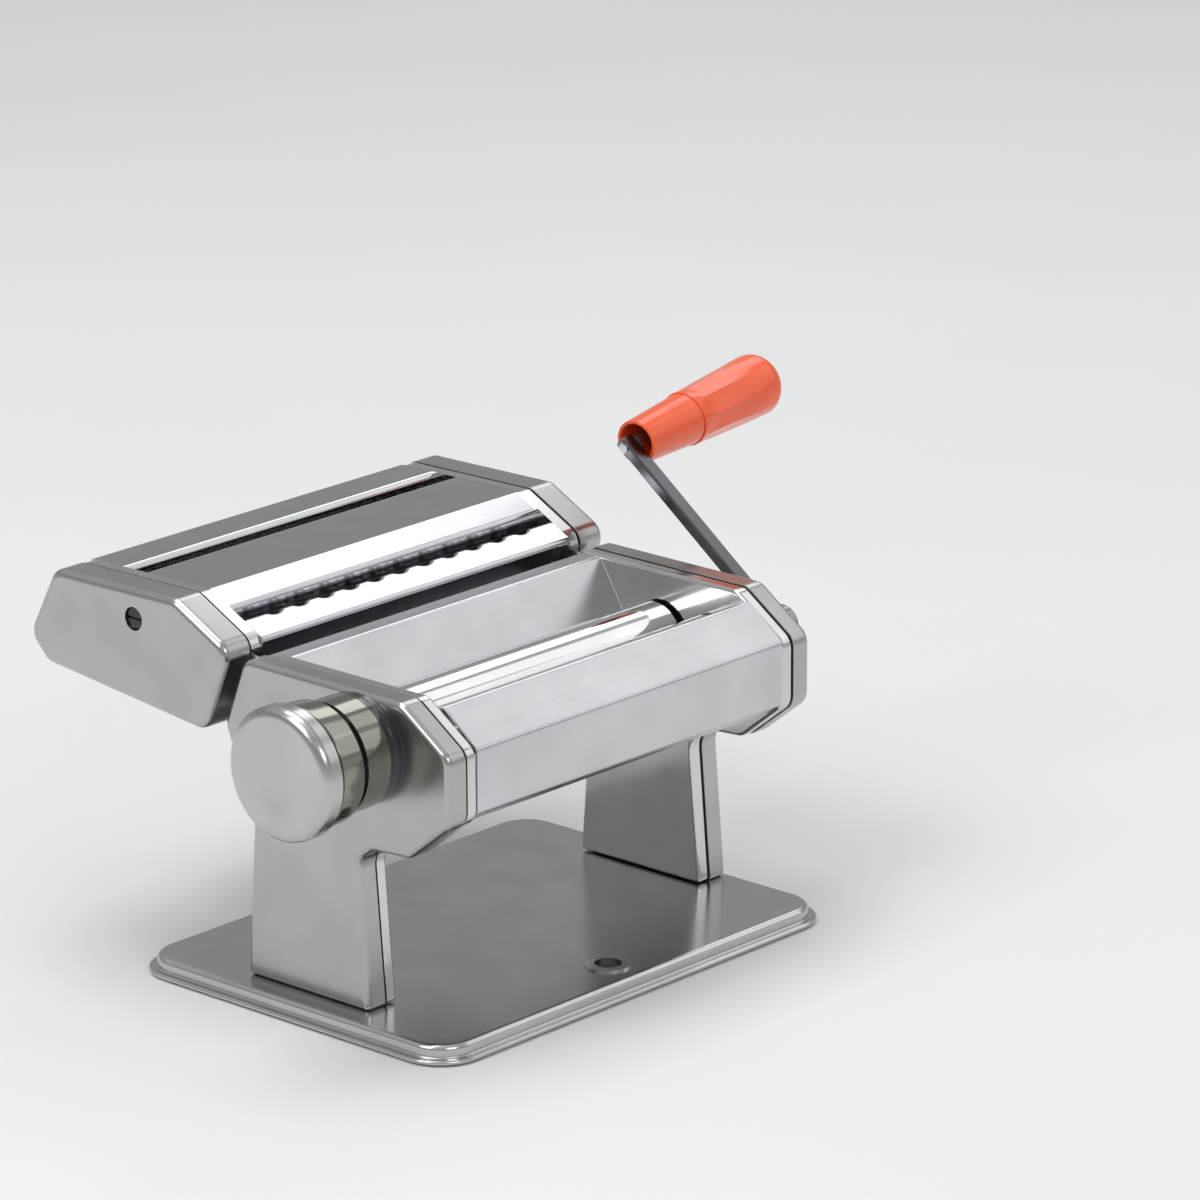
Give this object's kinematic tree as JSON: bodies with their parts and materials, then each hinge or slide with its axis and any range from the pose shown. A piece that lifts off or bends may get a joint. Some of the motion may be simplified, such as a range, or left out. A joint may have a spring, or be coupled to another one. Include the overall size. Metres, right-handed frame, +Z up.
{
  "type": "pasta roller machine",
  "caption": "Hand-cranked steel dough sheeter with a thickness knob, a removable crank and a lift-off cutter head for wide and narrow strips.",
  "frame": {"origin": "at table level, under the middle of the two side covers, between the roller's front and rear feet", "axes": "+X along the rollers towards the crank, +Y towards the cutter head, +Z up"},
  "size_m": [0.33, 0.2129, 0.1774],
  "materials": {
    "cover_steel": "pressed stainless steel, satin brushed",
    "bright_steel": "polished stainless steel",
    "panel_steel": "folded stainless sheet, fine satin",
    "base_steel": "pressed stainless tray, satin top",
    "roller_steel": "ground and polished steel",
    "frame_steel": "plain steel sheet, rods and pins",
    "gear_steel": "sintered steel, oiled",
    "bearing_bronze": "plain bearing bronze",
    "knob_metal": "turned and polished",
    "cap_metal": "satin face, polished rim",
    "black_rubber": "matt black",
    "black_plastic": "glossy black moulding",
    "dial_dark": "dark grey gloss",
    "crank_steel": "dark steel bar",
    "orange_plastic": "smooth orange moulding"
  },
  "bodies": {
    "machine": {"base_plate": "base_steel", "rubber_feet": "black_rubber", "clamp_socket": "bright_steel", "base_screws": "frame_steel", "left_cover": "cover_steel", "right_cover": "cover_steel", "gap_seals": "black_rubber", "left_inner_shell": "bright_steel", "right_inner_shell": "bright_steel", "left_frame_plate": "frame_steel", "right_frame_plate": "frame_steel", "front_panel": "panel_steel", "rear_panel": "panel_steel", "tie_rods": "frame_steel", "roller_scrapers": "frame_steel", "front_bushings": "bearing_bronze", "guide_pins": "frame_steel", "cutter_rails": "frame_steel", "regulator_bracket": "frame_steel", "regulator_bushing": "bearing_bronze", "dial_ring": "dial_dark", "dial_collar": "knob_metal"},
    "front_roller": {"front_roller": "roller_steel", "front_gear": "gear_steel"},
    "carriage": {"left_slide_plate": "frame_steel", "right_slide_plate": "frame_steel", "rear_bushings": "bearing_bronze", "carriage_bar": "frame_steel", "follower_pin": "frame_steel"},
    "rear_roller": {"rear_roller": "roller_steel", "rear_gear": "gear_steel"},
    "regulator": {"regulator_shaft": "frame_steel", "regulator_cam": "frame_steel"},
    "knob": {"knob_core": "black_plastic", "knob_skirt": "knob_metal", "knob_band": "black_plastic", "knob_cap": "cap_metal", "knob_spring": "frame_steel"},
    "crank": {"crank_stub": "crank_steel", "crank_arm": "crank_steel", "grip_pin": "frame_steel"},
    "grip": {"grip_collar": "orange_plastic", "grip_body": "orange_plastic"},
    "cutter_head": {"cutter_left_cover": "cover_steel", "cutter_right_cover": "cover_steel", "cutter_gap_seals": "black_rubber", "cutter_inner_shells": "bright_steel", "cutter_back_plate": "panel_steel", "cutter_centre_plate": "panel_steel", "cutter_front_plate": "panel_steel", "cutter_combs": "frame_steel", "cutter_tie_bolts": "frame_steel"},
    "wide_front": {"wide_cutter_front": "roller_steel", "wide_gear_front": "gear_steel"},
    "wide_rear": {"wide_cutter_rear": "roller_steel", "wide_gear_rear": "gear_steel"},
    "narrow_front": {"narrow_cutter_front": "roller_steel", "narrow_gear_front": "gear_steel"},
    "narrow_rear": {"narrow_cutter_rear": "roller_steel", "narrow_gear_rear": "gear_steel"}
  },
  "joints": [
    {"name": "crank_turn", "type": "hinge", "parent": "machine", "child": "front_roller", "pos_m": [0, -0.0353, 0.1005], "axis": [1, 0, 0], "continuous": true},
    {"name": "thickness_turn", "type": "hinge", "parent": "machine", "child": "regulator", "pos_m": [-0.09, -0.0267, 0.105], "axis": [1, 0, 0], "range_deg": [0, 270]},
    {"name": "roller_gap", "type": "slide", "parent": "machine", "child": "carriage", "axis": [0, 1, 0], "range_m": [0, 0.0027]},
    {"name": "rear_roller_spin", "type": "hinge", "parent": "carriage", "child": "rear_roller", "pos_m": [0, -0.009, 0.1005], "axis": [1, 0, 0], "continuous": true},
    {"name": "knob_pull", "type": "slide", "parent": "regulator", "child": "knob", "axis": [-1, 0, 0], "range_m": [0, 0.004], "stiffness_N_per_m": 800, "springref_m": -0.003, "deforming": ["knob_spring"]},
    {"name": "crank_pull", "type": "slide", "parent": "front_roller", "child": "crank", "axis": [1, 0, 0], "range_m": [0, 0.035]},
    {"name": "grip_spin", "type": "hinge", "parent": "crank", "child": "grip", "pos_m": [0.10799, 0.02928, 0.15947], "axis": [0.9938, 0.0823, 0.0752], "continuous": true},
    {"name": "cutter_head_lift", "type": "slide", "parent": "machine", "child": "cutter_head", "axis": [0, -0.3659, 0.9307], "range_m": [0, 0.06]},
    {"name": "wide_cutter_turn", "type": "hinge", "parent": "cutter_head", "child": "wide_front", "pos_m": [0, 0.05099, 0.11389], "axis": [1, 0, 0], "continuous": true},
    {"name": "wide_cutter_follow", "type": "hinge", "parent": "cutter_head", "child": "wide_rear", "pos_m": [0, 0.06681, 0.12011], "axis": [1, 0, 0], "continuous": true},
    {"name": "narrow_cutter_turn", "type": "hinge", "parent": "cutter_head", "child": "narrow_front", "pos_m": [0, 0.0909, 0.12], "axis": [1, 0, 0], "continuous": true},
    {"name": "narrow_cutter_follow", "type": "hinge", "parent": "cutter_head", "child": "narrow_rear", "pos_m": [0, 0.1069, 0.12], "axis": [1, 0, 0], "continuous": true}
  ],
  "couplings": [
    {"joint": "rear_roller_spin", "follows": "crank_turn", "ratio": -1},
    {"joint": "thickness_turn", "follows": "roller_gap", "rad_per_m": 1745.3},
    {"joint": "wide_cutter_follow", "follows": "wide_cutter_turn", "ratio": -1},
    {"joint": "narrow_cutter_follow", "follows": "narrow_cutter_turn", "ratio": -1}
  ]
}
